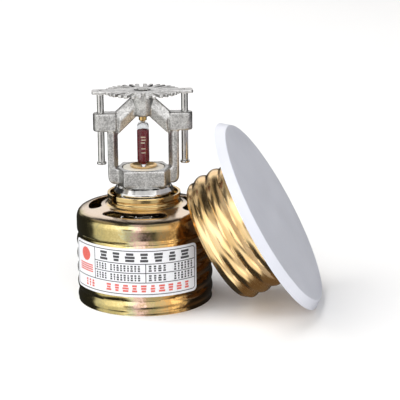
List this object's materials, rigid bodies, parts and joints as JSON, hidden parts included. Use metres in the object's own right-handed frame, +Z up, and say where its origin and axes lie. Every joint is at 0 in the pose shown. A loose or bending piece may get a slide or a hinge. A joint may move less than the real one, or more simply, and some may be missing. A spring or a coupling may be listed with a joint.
{
  "type": "concealed fire sprinkler head",
  "caption": "Concealed pendent fire sprinkler: glass-bulb head standing in a rolled support cup, with its round white cover plate and threaded sleeve leaning on it.",
  "frame": {"origin": "middle of the whole object's footprint, on the surface it stands on", "axes": "+Z up along the head's and the cup's common axis; +X from the cup towards the leaning cover; -Y towards the labelled side"},
  "size_m": [0.1028, 0.0852, 0.088],
  "materials": {
    "yellow_zinc": "bright steel with an iridescent yellow zinc coating",
    "label_paper": null,
    "cast_nickel": "satin nickel-plated casting",
    "screw_brass": "bright brass",
    "bulb_glass": "clear glass",
    "bulb_liquid": "dark red heat-sensitive liquid",
    "cap_copper": "bright copper alloy",
    "washer_coating": "cream fluoropolymer coating on a spring washer",
    "seal_ptfe": "white sealing ring",
    "deflector_nickel": "bright nickel-plated stamping",
    "pin_steel": "bright plated steel pins",
    "sleeve_brass": "polished brass-coloured rolled steel",
    "white_paint": "white powder coat with a fine orange peel",
    "solder": "dull fusible solder"
  },
  "bodies": {
    "cup": {"support_cup": "yellow_zinc", "label": "label_paper"},
    "head": {"sprinkler_frame": "cast_nickel", "bulb_glass": "bulb_glass", "bulb_liquid": "bulb_liquid", "valve_cap": "cap_copper", "spring_washer": "washer_coating", "sealing_ring": "seal_ptfe"},
    "screw": {"compression_screw": "screw_brass"},
    "deflector_set": {"deflector": "deflector_nickel", "guide_pin_left": "pin_steel", "guide_pin_right": "pin_steel"},
    "sleeve": {"cover_sleeve": "sleeve_brass"},
    "cover": {"cover_plate": "white_paint", "solder_pad_1": "solder", "solder_pad_2": "solder", "solder_pad_3": "solder"}
  },
  "joints": [
    {"name": "head_lift", "type": "slide", "parent": "cup", "child": "head", "axis": [0, 0, 1], "range_m": [0, 0.02]},
    {"name": "screw_turn", "type": "hinge", "parent": "head", "child": "screw", "pos_m": [-0.0229, 0.01412, 0.08], "axis": [0, 0, 1], "range_deg": [0, 90]},
    {"name": "deflector_drop", "type": "slide", "parent": "head", "child": "deflector_set", "axis": [0, 0, 1], "range_m": [0, 0.0125]},
    {"name": "cover_away", "type": "slide", "parent": "cup", "child": "sleeve", "axis": [0.8475, -0.1966, 0.493], "range_m": [0, 0.03]},
    {"name": "cover_release", "type": "slide", "parent": "sleeve", "child": "cover", "axis": [0.8475, -0.1966, 0.493], "range_m": [0, 0.02]}
  ]
}
